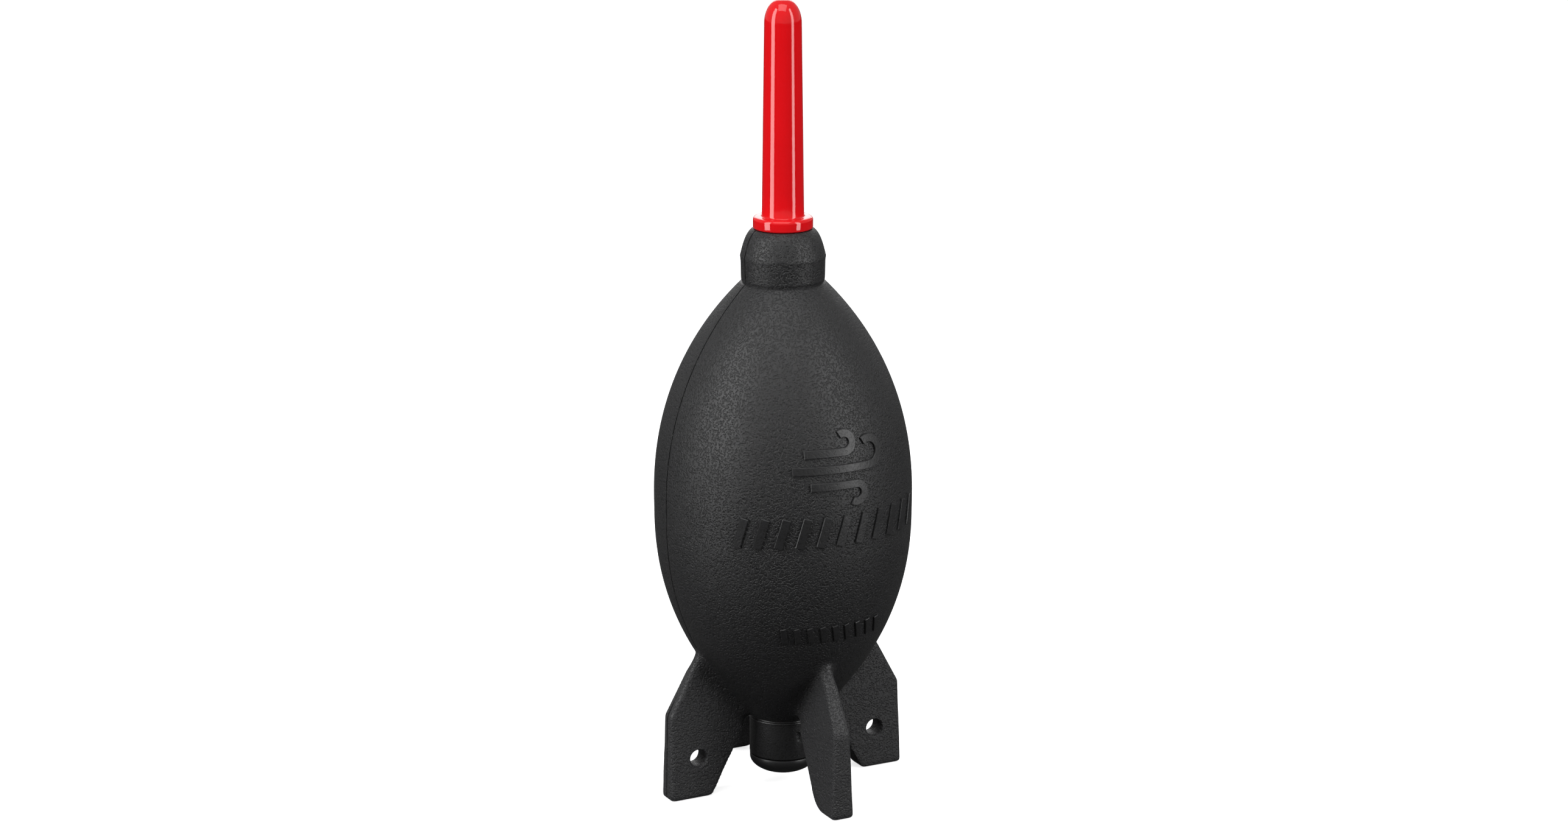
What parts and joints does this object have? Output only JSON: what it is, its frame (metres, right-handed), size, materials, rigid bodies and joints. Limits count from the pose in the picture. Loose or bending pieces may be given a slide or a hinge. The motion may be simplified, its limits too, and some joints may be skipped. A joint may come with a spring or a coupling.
{
  "type": "dust blower bulb",
  "caption": "Rocket-shaped rubber hand blower that stands on four fins, with a tapered red nozzle that pulls out and a one-way intake valve in its tail.",
  "frame": {"origin": "on the floor that the four fins stand on, under the bulb's axis", "axes": "+Z along the bulb's axis, out through the nozzle's tip; X through the two side fins with the lanyard holes, which lie in the mould's parting plane; -Y through the front fin, on the side of the raised panel"},
  "size_m": [0.0626, 0.0626, 0.19],
  "materials": {
    "bulb_rubber": "matt, fine moulded grain",
    "nozzle_plastic": "glossy, moulded",
    "plug_plastic": "satin, moulded",
    "disc_rubber": "matt silicone",
    "retainer_plastic": "natural, moulded"
  },
  "bodies": {
    "bulb": {"bulb": "bulb_rubber", "valve_plug": "plug_plastic", "valve_retainer": "retainer_plastic"},
    "squeeze_wall_front": {"squeeze_wall_front": "bulb_rubber"},
    "squeeze_wall_back": {"squeeze_wall_back": "bulb_rubber"},
    "nozzle": {"nozzle": "nozzle_plastic"},
    "valve_disc": {"valve_disc": "disc_rubber"}
  },
  "joints": [
    {"name": "squeeze_front", "type": "slide", "parent": "bulb", "child": "squeeze_wall_front", "axis": [0, 1, 0], "range_m": [0, 0.009], "stiffness_N_per_m": 1800},
    {"name": "squeeze_back", "type": "slide", "parent": "bulb", "child": "squeeze_wall_back", "axis": [0, -1, 0], "range_m": [0, 0.009], "stiffness_N_per_m": 1800},
    {"name": "nozzle_pull", "type": "slide", "parent": "bulb", "child": "nozzle", "axis": [0, 0, 1], "range_m": [0, 0.02]},
    {"name": "valve_lift", "type": "slide", "parent": "bulb", "child": "valve_disc", "axis": [0, 0, 1], "range_m": [0, 0.00095]}
  ]
}
